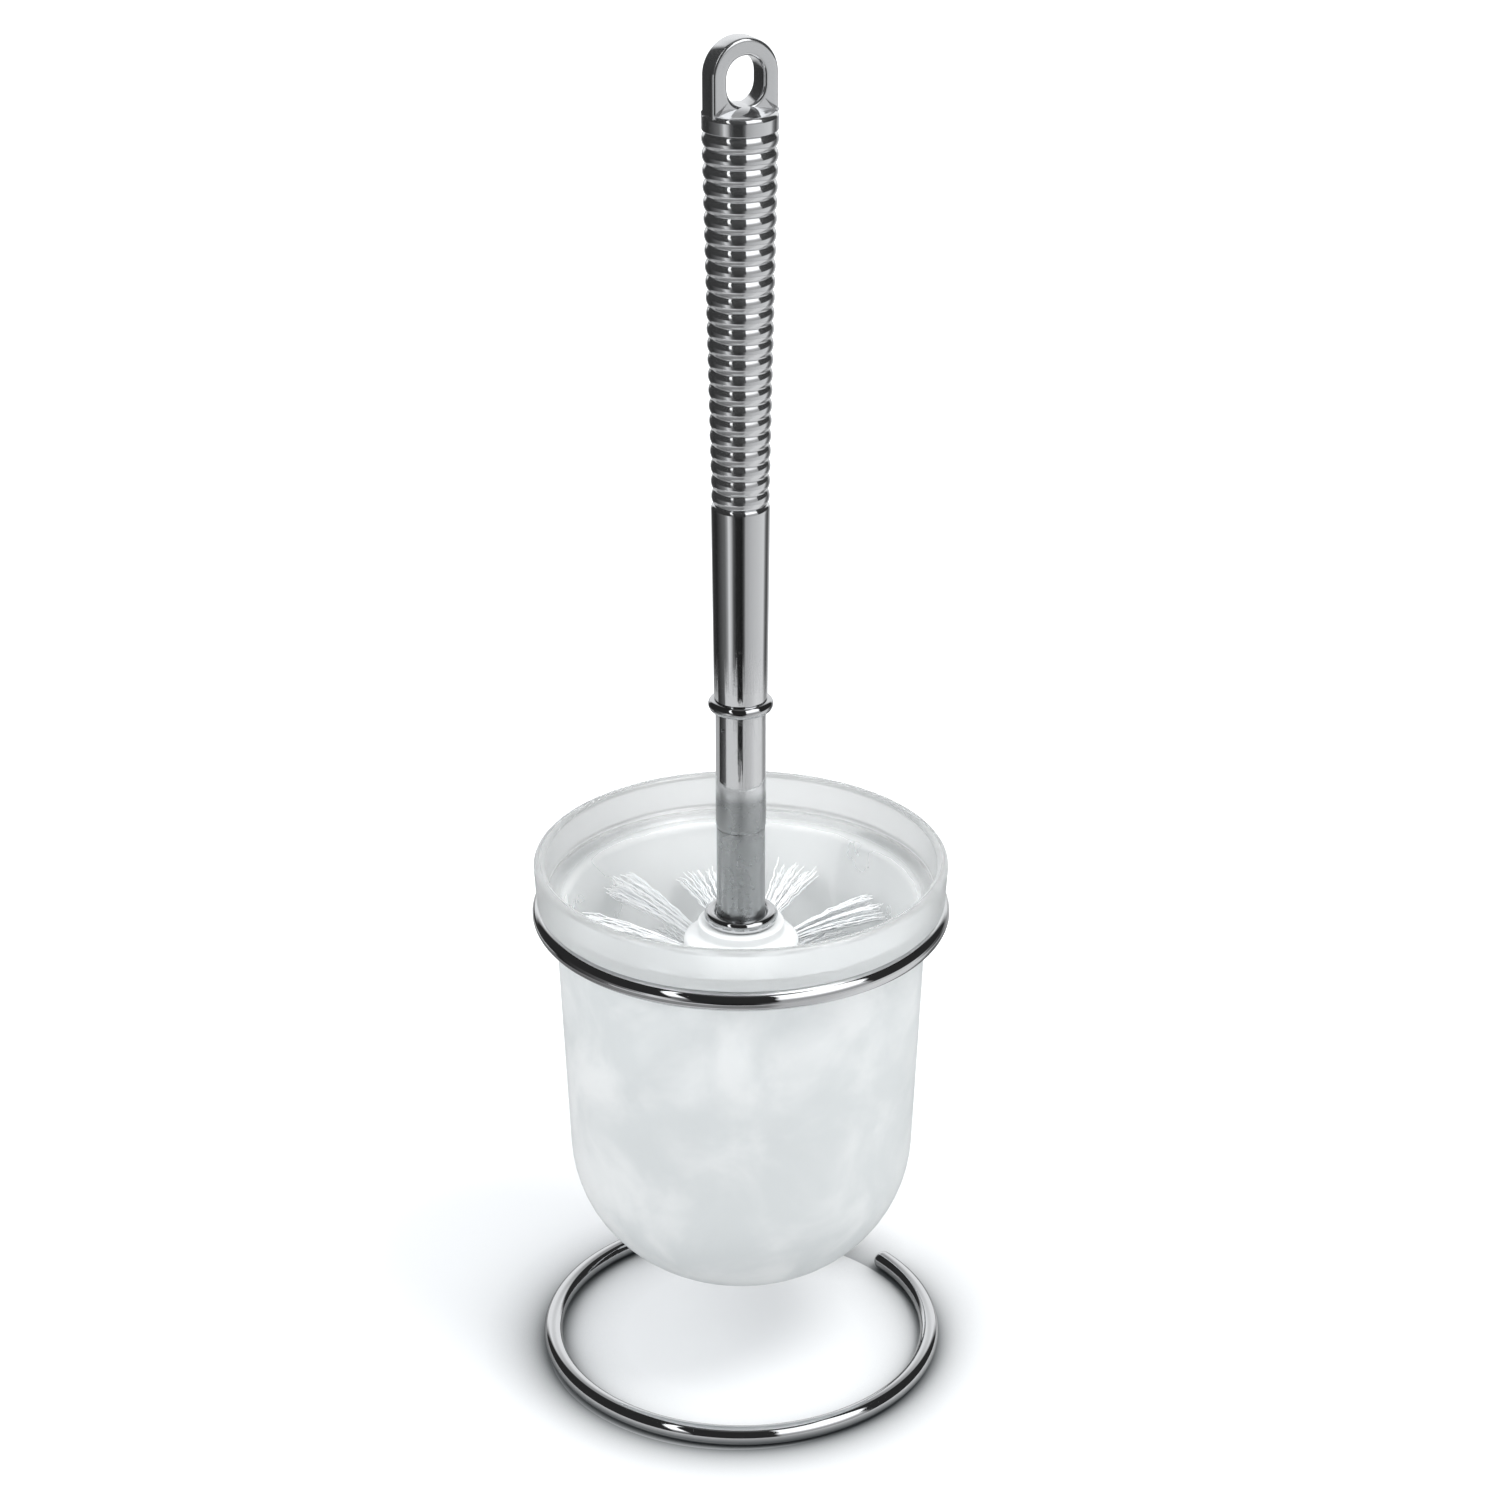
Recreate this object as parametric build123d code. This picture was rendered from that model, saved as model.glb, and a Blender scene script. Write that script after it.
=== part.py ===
# Toilet brush set: a frosted glass cup that hangs in a bent wire stand, and a brush whose handle
# unscrews from its bristle head. Millimetres, +Z up. The origin is on the floor, at the centre of
# the stand's base loop, and azimuths are counted from +X towards +Y.

import os
from math import atan, cos, degrees, hypot, radians, sin

from build123d import *

# Stand: one wire, bent into a base loop, an upright and a holder loop
wire_d = 5.5
loop_r = 55.0               # centreline radius of both loops
holder_z = 140.5            # height of the holder loop's centreline
bend_r = 9.0                # centreline radius of the bends at both ends of the upright
upright_az = 55.4
base_end_az = 41.0          # free end of the base loop
holder_end_az = 95.0        # free end of the holder loop
wire_end_fillet = 1.8

# Glass cup: a tapered body, a shoulder that rests on the holder loop, and a wide collar
glass_t = 3.3
cup_floor_z = 29.3
cup_floor_t = 4.0
cup_foot_r = 46.86          # where the tapered wall would meet the floor plane
cup_foot_fillet = 40.2
shoulder_r = 51.65          # top of the tapered wall
shoulder_z = 143.5
collar_foot_r = 56.4
collar_rim_r = 57.2
rim_z = 156.0
rim_t = 3.2
ledge_outer_z = 146.4       # the ledge inside the collar slopes down to the mouth of the body
ledge_inner_z = 142.5

# Grip: hanging eye, plain band, ribs, plain sleeve, and a spigot that enters the tube
eye_turn = 29.0             # the eye's flat faces are turned this far from facing -Y
eye_top_z = 383.5
eye_t = 6.6
eye_w = 18.9
eye_hole_w = 10.6
eye_hole_h = 12.9
eye_hole_z = 372.55
eye_edge_fillet = 1.0
band_top_z = 364.7         # rim of the band, whose top rises to a low dome
band_dome_h = 1.6
band_d = 19.8
band_fillet = 1.5
rib_top_z = 359.6
rib_pitch = 100 / 24
rib_count = 24
rib_crest_d = (20.0, 15.55)     # at the top and at the bottom of the ribbed length
rib_groove_d = (18.1, 14.1)
sleeve_d = (15.7, 14.6)
grip_end_z = 203.7
spigot_d = 12.06
spigot_end_z = 178.0
grip_core_d = 7.5
grip_core_top_z = 345.0

# Trim rings: the bead is half round outside and straight in the bore, the collar is round all over
bead_z = 202.0
bead_od = 17.7
bead_h = 3.4
collar_z = 138.05
collar_od = 20.5
collar_h = 3.5
collar_land = 1.2           # straight length of the collar's bore

# Handle tube and the lower sleeve that is plugged into it
tube_d = 13.8
tube_bore_d = 12.1
tube_top_z = 203.5
tube_end_z = 165.5
tube_end_round = (0.22, 1.1)    # the tube's lower edge is drawn in by so much over so much height
vent_d = 1.5
vent_z = 196.0
vent_az = -135.0
lower_d = 13.4
lower_core_d = 8.6
lower_plug_z = 176.0
lower_foot_d = 15.4
lower_foot_t = 0.9
foot_z = 136.5

# Screw joint: a steel stud in the head, a threaded brass insert in the lower sleeve
stud_d = 8.0
stud_top_z = 150.0
stud_root_z = 118.0
stud_chamfer = 0.8
insert_d = 11.0
insert_top_z = 153.0

# Brush head: a moulded hub with drilled rows of tufts
hub_d = 32.0
hub_neck_d = 24.0
hub_top_z = 136.2
hub_neck_z = 133.6
hub_shoulder_z = 131.0
hub_end_z = 55.0
hub_end_fillet = 5.0
hole_d = 4.2
hole_depth = 7.0
tuft_root_d = 4.0
tuft_tip_d = 9.0
row_count = 6
row_top_z = 126.0
row_pitch = 11.8
tufts_per_row = 10
tuft_first_az = 33.5
row_tip_r = (46.0, 45.7, 45.2, 44.8, 44.3, 43.0)
row_tilt = (8.0, 0.0, 0.0, 0.0, 0.0, 0.0)       # degrees above level
# End tufts, a ring each: how many, radius and height of the hole's mouth, tilt, free length
end_rings = ((8, 14.2, 57.2, -40.0, 21.0), (4, 6.0, 55.0, -78.0, 20.2))
anchor_size = (3.8, 0.35, 1.6)

fit_gap = 0.02              # radial gap of pieces that are fixed in each other
run_gap = 0.05              # radial gap of pieces that turn or slide in each other

os.makedirs("parts", exist_ok=True)


def blend(pair, share):
    """The value that lies this share of the way from a pair's first number to its second."""
    return pair[0] + (pair[1] - pair[0]) * share


def turned(outline):
    """The solid of revolution of a closed outline drawn in (radius, height)."""
    return revolve(make_face(Plane.XZ * outline), Axis.Z)


def rounded(section, corners):
    """A flat section with each (radius, height) corner rounded by its own fillet."""
    for radius, height, fillet_r in corners:
        corner = section.vertices().sort_by_distance((radius, 0, height))[0]
        section = fillet(corner, fillet_r)
    return section


def bush(outer_d, inner_d, low_z, high_z):
    """A plain tube between two heights."""
    length = high_z - low_z
    ring = Cylinder(outer_d / 2, length) - Cylinder(inner_d / 2, length)
    return Pos(0, 0, (low_z + high_z) / 2) * ring


def wire_loop(height, start_az, end_az, free_az):
    """Part of a ring of wire, with its free end rounded over."""
    section = Plane.XZ * Pos(loop_r, height) * Circle(wire_d / 2)
    ring = Rot(0, 0, start_az) * revolve(section, Axis.Z, end_az - start_az)
    end = (loop_r * cos(radians(free_az)), loop_r * sin(radians(free_az)), height)
    cut = ring.faces().filter_by(GeomType.PLANE).sort_by_distance(end)[0]
    return fillet(cut.edges(), wire_end_fillet)


def wire_bend(azimuth, height, centre_z):
    """A quarter bend between the upright and a loop's end at this azimuth."""
    section = Plane.XZ * Pos(loop_r, height) * Circle(wire_d / 2)
    pivot = Axis((loop_r, 0, centre_z), (-1, 0, 0))
    return Rot(0, 0, azimuth) * revolve(section, pivot, 90)


def make_stand():
    """The whole wire. The upright stands just outside the loops, where both bends meet it."""
    bend_angle = degrees(atan(bend_r / loop_r))
    base_z = wire_d / 2
    low_az = upright_az + bend_angle
    high_az = upright_az - bend_angle
    base = wire_loop(base_z, low_az, 360 + base_end_az, base_end_az)
    holder = wire_loop(holder_z, holder_end_az, 360 + high_az, holder_end_az)
    low_bend = wire_bend(low_az, base_z, base_z + bend_r)
    high_bend = wire_bend(high_az, holder_z, holder_z - bend_r)
    low_end = base_z + bend_r
    high_end = holder_z - bend_r
    upright = Rot(0, 0, upright_az) * Pos(hypot(loop_r, bend_r), 0, (low_end + high_end) / 2)
    upright *= Cylinder(wire_d / 2, high_end - low_end)
    return base + low_bend + upright + high_bend + holder


def make_cup():
    """One thick-walled glass, closed at the bottom and open at the rim."""
    inner_foot_r = cup_foot_r - glass_t
    inner_floor_z = cup_floor_z + cup_floor_t
    mouth_r = shoulder_r - glass_t - 0.3
    rim_inner_r = collar_rim_r - rim_t
    ledge_r = collar_foot_r - 2.8
    outline = Polyline(
        (0, cup_floor_z),
        (cup_foot_r, cup_floor_z),
        (shoulder_r, shoulder_z),
        (collar_foot_r, shoulder_z),
        (collar_rim_r, rim_z),
        (rim_inner_r, rim_z),
        (ledge_r, ledge_outer_z),
        (mouth_r, ledge_inner_z),
        (inner_foot_r, inner_floor_z),
        (0, inner_floor_z),
        close=True,
    )
    section = rounded(
        make_face(Plane.XZ * outline),
        (
            (cup_foot_r, cup_floor_z, cup_foot_fillet),
            (shoulder_r, shoulder_z, 3.6),
            (collar_foot_r, shoulder_z, 1.2),
            (collar_rim_r, rim_z, 1.5),
            (rim_inner_r, rim_z, 1.5),
            (ledge_r, ledge_outer_z, 1.2),
            (mouth_r, ledge_inner_z, 3.0),
            (inner_foot_r, inner_floor_z, cup_foot_fillet - glass_t),
        ),
    )
    return revolve(section, Axis.Z)


def ribbed_shaft():
    """Band, ribs, sleeve and spigot as one turned outline; every rib is an arc between two grooves."""
    rib_end_z = rib_top_z - rib_count * rib_pitch
    band_r = band_d / 2
    dome_edge = (band_r - band_fillet, band_top_z)
    dome_half = (dome_edge[0] / 2, band_top_z + 0.75 * band_dome_h)
    dome_top = (0, band_top_z + band_dome_h)
    lines = [
        ThreePointArc(dome_top, dome_half, dome_edge),
        RadiusArc(dome_edge, (band_r, band_top_z - band_fillet), band_fillet),
        Line((band_r, band_top_z - band_fillet), (band_r, rib_top_z + 0.5)),
        Line((band_r, rib_top_z + 0.5), (rib_groove_d[0] / 2, rib_top_z)),
    ]
    for rib in range(rib_count):
        top_share = rib / rib_count
        end_share = (rib + 1) / rib_count
        mid_share = (top_share + end_share) / 2
        lines.append(
            ThreePointArc(
                (blend(rib_groove_d, top_share) / 2, rib_top_z - rib * rib_pitch),
                (blend(rib_crest_d, mid_share) / 2, rib_top_z - (rib + 0.5) * rib_pitch),
                (blend(rib_groove_d, end_share) / 2, rib_top_z - (rib + 1) * rib_pitch),
            )
        )
    groove = (rib_groove_d[1] / 2, rib_end_z)
    sleeve_top = (sleeve_d[0] / 2, rib_end_z - 1.6)
    sleeve_end = (sleeve_d[1] / 2, grip_end_z)
    lines += [
        RadiusArc(groove, sleeve_top, 2.2),
        Polyline(
            sleeve_top,
            sleeve_end,
            (spigot_d / 2, grip_end_z),
            (spigot_d / 2, spigot_end_z),
            (0, spigot_end_z),
            dome_top,
        ),
    ]
    return turned(Wire(Curve() + lines))


def hanging_eye():
    """A round-topped slab with an oval hole, nearly as wide as the band below it."""
    radius = eye_w / 2
    arch_z = eye_top_z - radius
    hidden_z = band_top_z - 1.0
    arch = Pos(0, arch_z) * Circle(radius)
    stem = Pos(0, (arch_z + hidden_z) / 2) * Rectangle(eye_w, arch_z - hidden_z)
    hole = Pos(0, eye_hole_z) * SlotOverall(eye_hole_h, eye_hole_w, rotation=90)
    slab = extrude(Plane.XZ * (arch + stem - hole), eye_t / 2, both=True)
    flats = slab.faces().filter_by(Axis.Y)
    soft = [edge for edge in flats.edges() if edge.center().Z > hidden_z + 0.1]
    return Rot(0, 0, eye_turn) * fillet(soft, eye_edge_fillet)


def make_grip():
    """The chromed moulding that is held in the hand, cored out from its lower end."""
    core_length = grip_core_top_z - spigot_end_z
    core = Pos(0, 0, spigot_end_z + core_length / 2) * Cylinder(grip_core_d / 2, core_length)
    return ribbed_shaft() + hanging_eye() - core


def make_bead():
    """The trim ring that hides the joint between the grip and the tube."""
    bore_r = tube_d / 2 + fit_gap
    low = bead_z - bead_h / 2
    high = bead_z + bead_h / 2
    flat_r = (bead_od - bead_h) / 2
    outline = Wire(
        Curve()
        + [
            Polyline((flat_r, high), (bore_r, high), (bore_r, low), (flat_r, low)),
            ThreePointArc((flat_r, low), (bead_od / 2, bead_z), (flat_r, high)),
        ]
    )
    return turned(outline)


def make_collar():
    """The trim ring on the handle's foot, recessed below so that the foot's flange holds it."""
    bore_r = lower_d / 2 + run_gap
    middle_r = (collar_od - collar_h) / 2
    bead = revolve(Plane.XZ * Pos(middle_r, collar_z) * Circle(collar_h / 2), Axis.Z)
    ring = bead + Pos(0, 0, collar_z) * (Cylinder(middle_r, collar_land) - Cylinder(bore_r, collar_land))
    low = collar_z - collar_h / 2 - 0.1
    recess_top = foot_z + lower_foot_t + run_gap
    recess_r = lower_foot_d / 2 + run_gap
    ring -= Pos(0, 0, (low + recess_top) / 2) * Cylinder(recess_r, recess_top - low)
    return ring


def make_tube():
    """The plain tube under the grip, drawn in at its lower edge, with a vent hole near its top."""
    outer_r = tube_d / 2
    bore_r = tube_bore_d / 2
    drawn_in, height = tube_end_round
    start = (outer_r, tube_end_z + height)
    end = (outer_r - drawn_in, tube_end_z)
    outline = Wire(
        Curve()
        + [
            TangentArc(start, end, tangent=(0, -1)),
            Polyline(end, (bore_r, tube_end_z), (bore_r, tube_top_z), (outer_r, tube_top_z), start),
        ]
    )
    drill = Rot(0, 0, vent_az) * Pos(outer_r, 0, vent_z) * Rot(0, 90, 0) * Cylinder(vent_d / 2, 3)
    return turned(outline) - drill


def make_lower_sleeve():
    """The sleeve that plugs into the tube, carries the insert and ends in a small flange."""
    plug_r = tube_bore_d / 2 - fit_gap
    outline = Polyline(
        (insert_d / 2 + fit_gap, foot_z),
        (lower_foot_d / 2, foot_z),
        (lower_foot_d / 2, foot_z + lower_foot_t),
        (lower_d / 2, foot_z + lower_foot_t),
        (lower_d / 2, tube_end_z - 0.05),
        (plug_r, tube_end_z - 0.05),
        (plug_r, lower_plug_z),
        (lower_core_d / 2, lower_plug_z),
        (lower_core_d / 2, insert_top_z),
        (insert_d / 2 + fit_gap, insert_top_z),
        close=True,
    )
    return turned(outline)


def make_insert():
    """The brass bush with the female thread, drawn as a plain bore on the thread's outside size."""
    return bush(insert_d, stud_d + 2 * run_gap, foot_z + 0.1, insert_top_z - 0.05)


def make_stud():
    """The stud that stands up out of the hub."""
    length = stud_top_z - stud_root_z
    stud = Pos(0, 0, stud_root_z + length / 2) * Cylinder(stud_d / 2, length)
    return chamfer(stud.edges().group_by(Axis.Z)[-1], stud_chamfer)


def tuft_seats():
    """Each group of tufts as a list of (azimuth, radius, height, tilt, free length)."""
    step = 360 / tufts_per_row
    groups = []
    for row in range(row_count):
        tilt = row_tilt[row]
        reach = (row_tip_r[row] - hub_d / 2) / cos(radians(tilt))
        height = row_top_z - row * row_pitch
        offset = tuft_first_az + step / 2 * (row % 2)
        groups.append([(offset + step * i, hub_d / 2, height, tilt, reach) for i in range(tufts_per_row)])
    ends = []
    for count, mouth_r, mouth_z, tilt, reach in end_rings:
        ends += [(tuft_first_az + 360 / count * i, mouth_r, mouth_z, tilt, reach) for i in range(count)]
    groups.append(ends)
    return groups


def at_mouth(seat):
    """The place of a tuft hole's mouth, with local +Z pointing out along the tuft."""
    azimuth, radius, height, tilt, _ = seat
    return Rot(0, 0, azimuth) * Pos(radius, 0, height) * Rot(0, 90 - tilt, 0)


def make_hub(groups):
    """The moulded core of the head, with a blind hole for every tuft and for the stud."""
    outline = Polyline(
        (0, hub_end_z),
        (hub_d / 2, hub_end_z),
        (hub_d / 2, hub_shoulder_z),
        (hub_neck_d / 2, hub_neck_z),
        (hub_neck_d / 2, hub_top_z),
        (0, hub_top_z),
        close=True,
    )
    section = rounded(
        make_face(Plane.XZ * outline),
        (
            (hub_d / 2, hub_end_z, hub_end_fillet),
            (hub_d / 2, hub_shoulder_z, 2.0),
            (hub_neck_d / 2, hub_neck_z, 0.8),
            (hub_neck_d / 2, hub_top_z, 0.5),
        ),
    )
    hub = revolve(section, Axis.Z)
    # each drill starts a little outside the hub, so that its mouth is cut clean
    clear = 3.0
    drill = Pos(0, 0, (clear - hole_depth) / 2) * Cylinder(hole_d / 2, hole_depth + clear)
    holes = [at_mouth(seat) * drill for group in groups for seat in group]
    stud_hole = Pos(0, 0, stud_root_z + 20) * Cylinder(stud_d / 2 + fit_gap, 40)
    return hub - holes - stud_hole


def make_tuft(seat):
    """One tuft: a straight root in its hole and a cone that opens towards the tips."""
    root = hole_depth - anchor_size[2] - 0.3
    free = seat[4]
    outline = Polyline(
        (0, -root),
        (tuft_root_d / 2, -root),
        (tuft_root_d / 2, 0.2),
        (tuft_tip_d / 2, free),
        (0, free),
        close=True,
    )
    return at_mouth(seat) * turned(outline)


def make_anchor(seat):
    """The flat metal anchor that holds a tuft at the bottom of its hole."""
    depth = hole_depth - anchor_size[2] / 2 - 0.1
    return at_mouth(seat) * Pos(0, 0, -depth) * Box(*anchor_size)


tuft_groups = tuft_seats()
nodes = {
    "stand_wire": make_stand(),
    "glass_cup": make_cup(),
    "handle_grip": make_grip(),
    "bead_ring": make_bead(),
    "handle_tube": make_tube(),
    "lower_sleeve": make_lower_sleeve(),
    "thread_insert": make_insert(),
    "collar_ring": make_collar(),
    "head_stud": make_stud(),
    "brush_hub": make_hub(tuft_groups),
    "tuft_anchors": Compound([make_anchor(seat) for group in tuft_groups for seat in group]),
    "bristle_end_tufts": Compound([make_tuft(seat) for seat in tuft_groups[-1]]),
}
for number, group in enumerate(tuft_groups[:-1], start=1):
    nodes[f"bristle_row_{number}"] = Compound([make_tuft(seat) for seat in group])

for name, shape in nodes.items():
    export_step(shape, f"parts/{name}.step")
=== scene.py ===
import math

import bmesh
import bpy
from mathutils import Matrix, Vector


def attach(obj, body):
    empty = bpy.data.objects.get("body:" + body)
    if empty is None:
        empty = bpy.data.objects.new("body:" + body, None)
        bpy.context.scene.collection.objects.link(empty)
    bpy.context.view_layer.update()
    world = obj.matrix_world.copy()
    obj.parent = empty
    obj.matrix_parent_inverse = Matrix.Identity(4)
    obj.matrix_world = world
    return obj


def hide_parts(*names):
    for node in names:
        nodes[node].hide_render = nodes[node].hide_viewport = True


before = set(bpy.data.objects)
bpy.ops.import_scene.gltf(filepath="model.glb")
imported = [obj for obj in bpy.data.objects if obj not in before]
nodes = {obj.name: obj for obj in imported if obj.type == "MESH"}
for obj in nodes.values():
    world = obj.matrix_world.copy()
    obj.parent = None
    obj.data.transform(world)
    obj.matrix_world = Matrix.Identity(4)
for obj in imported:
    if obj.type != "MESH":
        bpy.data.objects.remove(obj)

# Toilet brush set: a chromed brush standing in a frosted glass cup that hangs in a bent wire stand.
# The pieces' dictionaries are in millimetres, the studio's and the finishes' in metres; every angle
# is in degrees.
mm = 0.001
perRadian = 180 / math.pi
scene = bpy.context.scene
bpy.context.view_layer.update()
print("frame:", len(nodes), "CAD nodes")


class Socket:
    # an output of a node; a sum written on it adds Math nodes to its tree
    def __init__(self, tree, output):
        self.tree = tree
        self.output = output

    def maths(self, operation, *others):
        return self.tree.maths(operation, self, *others)

    def other(self, name):
        return Socket(self.tree, self.output.node.outputs[name])

    def __add__(self, value):
        return self.tree.maths("ADD", self, value)

    def __radd__(self, value):
        return self.tree.maths("ADD", value, self)

    def __sub__(self, value):
        return self.tree.maths("SUBTRACT", self, value)

    def __rsub__(self, value):
        return self.tree.maths("SUBTRACT", value, self)

    def __mul__(self, value):
        return self.tree.maths("MULTIPLY", self, value)

    def __rmul__(self, value):
        return self.tree.maths("MULTIPLY", value, self)

    def __truediv__(self, value):
        return self.tree.maths("DIVIDE", self, value)

    def __rtruediv__(self, value):
        return self.tree.maths("DIVIDE", value, self)

    def __pow__(self, value):
        return self.tree.maths("POWER", self, value)


class Tree:
    # a shader, world or geometry tree that nodes are added to
    def __init__(self, nodeTree):
        self.nodeTree = nodeTree

    def add(self, kind, settings=None, values=None, output=0):
        node = self.nodeTree.nodes.new(kind)
        for name, setting in (settings or {}).items():
            if name == "stops":
                setStops(node.color_ramp, setting)
            else:
                setattr(node, name, setting)
        for name, value in (values or {}).items():
            if isinstance(value, Socket):
                self.nodeTree.links.new(value.output, node.inputs[name])
            else:
                node.inputs[name].default_value = value
        return Socket(self, node.outputs[output]) if node.outputs else node

    def maths(self, operation, *values):
        return self.add("ShaderNodeMath", {"operation": operation}, dict(enumerate(values)))

    def mixColour(self, share, first, second):
        return self.add("ShaderNodeMix", {"data_type": "RGBA"}, {0: share, 6: first, 7: second}, 2)

    def vector(self, operation, first, second=None, scale=None):
        values = {0: first}
        if second is not None:
            values[1] = second
        if scale is not None:
            values["Scale"] = scale
        return self.add("ShaderNodeVectorMath", {"operation": operation}, values)

    def step(self, value, start, end, low=0.0, high=1.0):
        # a soft step from low to high; it falls where end is less than start
        values = {"Value": value, "From Min": start, "From Max": end, "To Min": low, "To Max": high}
        return self.add("ShaderNodeMapRange", {"interpolation_type": "SMOOTHSTEP"}, values)

    def between(self, value, low, high, soft):
        return self.step(value, low - soft, low + soft) * self.step(value, high + soft, high - soft)

    def noise(self, place, scale, detail=2.0, roughness=0.5, distortion=0.0):
        return self.add("ShaderNodeTexNoise", values={
            "Vector": place, "Scale": scale, "Detail": detail, "Roughness": roughness,
            "Distortion": distortion})

    def azimuth(self, place):
        # 0 is the front and 90 the right
        x = self.add("ShaderNodeSeparateXYZ", values={0: place})
        return x.maths("ARCTAN2", x.other("Y") * -1.0) * perRadian

    def byAzimuth(self, azimuth, shades):
        # a ramp all the way round, from pairs of azimuth and brightness
        stops = [(0.5 + angle / 360, grey(brightness)) for angle, brightness in shades]
        return self.add("ShaderNodeValToRGB", {"stops": stops}, {0: azimuth / 360 + 0.5})


def setStops(ramp, stops):
    while len(ramp.elements) > 1:
        ramp.elements.remove(ramp.elements[-1])
    for index, (place, colour) in enumerate(stops):
        element = ramp.elements[0] if index == 0 else ramp.elements.new(place)
        element.position = place
        element.color = colour


def grey(level):
    return (level, level, level, 1.0)


def linked(name, data):
    piece = bpy.data.objects.new(name, data)
    scene.collection.objects.link(piece)
    return piece


# camera, floor and lights

camera = {
    "lens": 85.3,
    "place": (0.0025, -0.8784, 0.5891),
    "lookDown": 24.54,
    "clip": (0.05, 50),
}
cameraData = bpy.data.cameras.new("camera")
cameraData.lens = camera["lens"]
cameraData.clip_start, cameraData.clip_end = camera["clip"]
cameraObject = linked("camera", cameraData)
cameraObject.location = camera["place"]
cameraObject.rotation_euler = (math.radians(90 - camera["lookDown"]), 0, 0)
scene.camera = cameraObject
scene.view_settings.view_transform = "Standard"

# the room: all but the dome is seen by polished metal alone; rise is the heights it fades in between
studio = {
    "dome": (1.10, 1.115, 1.13),
    "tint": (0.98, 0.99, 1.0),
    "room": 0.028,
    "ceiling": {"rise": (66, 84), "light": 0.15},
    "back": {"edge": (136, 148), "rise": (72, 55), "foot": (48, 26), "light": 1.0, "topLight": 0.40},
    "table": {"rise": (-29, -36), "light": 0.42},
    # what stands round the table, below the horizon: azimuth and brightness
    "skirtRise": (-1, -4),
    "skirt": ((-180, 0.72), (-160, 0.70), (-146, 0.05), (-110, 0.02), (-90, 0.07), (-64, 0.17),
              (-54, 0.40), (-47, 0.85), (-38, 0.60), (-29, 0.12), (-18, 0.02), (6, 0.01), (14, 0.10),
              (21, 0.46), (45, 0.60), (75, 0.70), (103, 0.80), (116, 0.20), (130, 0.06), (141, 0.30),
              (155, 0.72), (180, 0.72)),
    # tall soft boxes: azimuth at the horizon, and how far they lean outwards as they rise
    "strip": {"middle": -31, "halfWidth": 5.0, "soft": 1.5, "lean": 0.007, "low": -1, "high": 68,
              "foot": (12, 32), "footLight": 0.20, "light": 1.75},
    "window": {"left": 20, "leftSoft": 2, "leftLean": 0.23, "right": 71, "rightSoft": 3,
               "rightLean": 0.95, "bend": 30, "low": -2, "high": 70,
               "foot": (12, 36), "footLight": 0.45, "light": 1.75},
    "softTop": 2.0,     # blur of the boxes' upper and lower ends
}


def makeWorld(studio):
    world = bpy.data.worlds.new("studio")
    world.use_nodes = True
    world.node_tree.nodes.clear()
    tree = Tree(world.node_tree)
    ray = tree.add("ShaderNodeTexCoord", output="Generated")
    azimuth = tree.azimuth(ray)
    up = tree.add("ShaderNodeSeparateXYZ", values={0: ray}).other("Z")
    height = up.maths("ARCSINE") * perRadian

    def covered(light, mask, brightness):
        return light + mask * (brightness - light)

    def box(mask, look):
        # the rest of a soft box: its ends, and its dimmer foot
        ends = tree.between(height, look["low"], look["high"], studio["softTop"])
        brightness = tree.step(height, *look["foot"], look["footLight"], look["light"])
        return covered(light, mask * ends, brightness)

    ceiling, back, table = studio["ceiling"], studio["back"], studio["table"]
    light = tree.step(height, *ceiling["rise"], studio["room"], ceiling["light"])
    behind = tree.step(azimuth.maths("ABSOLUTE"), *back["edge"]) * tree.step(height, *back["rise"])
    light = covered(light, behind, tree.step(height, *back["foot"], back["topLight"], back["light"]))
    skirt = tree.byAzimuth(azimuth, studio["skirt"])
    light = covered(light, tree.step(height, *studio["skirtRise"]), skirt)
    light = covered(light, tree.step(height, *table["rise"]), table["light"])

    strip = studio["strip"]
    lean = azimuth + height * height * strip["lean"] - strip["middle"]
    light = box(tree.between(lean, -strip["halfWidth"], strip["halfWidth"], strip["soft"]), strip)

    window = studio["window"]
    over = (height - window["bend"]).maths("MAXIMUM", 0.0)
    left = azimuth - over * window["leftLean"] - window["left"]
    right = azimuth - over * window["rightLean"] - window["right"]
    mask = (tree.step(left, -window["leftSoft"], window["leftSoft"])
            * tree.step(right, window["rightSoft"], -window["rightSoft"]))
    light = box(mask, window)

    path = tree.add("ShaderNodeLightPath", output="Is Camera Ray")
    red, green, blue = studio["tint"]
    mirrored = tree.add("ShaderNodeCombineColor", values={
        0: light * red, 1: light * green, 2: light * blue})
    soft = tree.mixColour(path, (*studio["dome"], 1.0), grey(1.0))
    seen = tree.mixColour(path.other("Is Glossy Ray"), soft, mirrored)
    sky = tree.add("ShaderNodeBackground", values={"Color": seen})
    tree.add("ShaderNodeOutputWorld", values={"Surface": sky})
    scene.world = world


makeWorld(studio)

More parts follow.
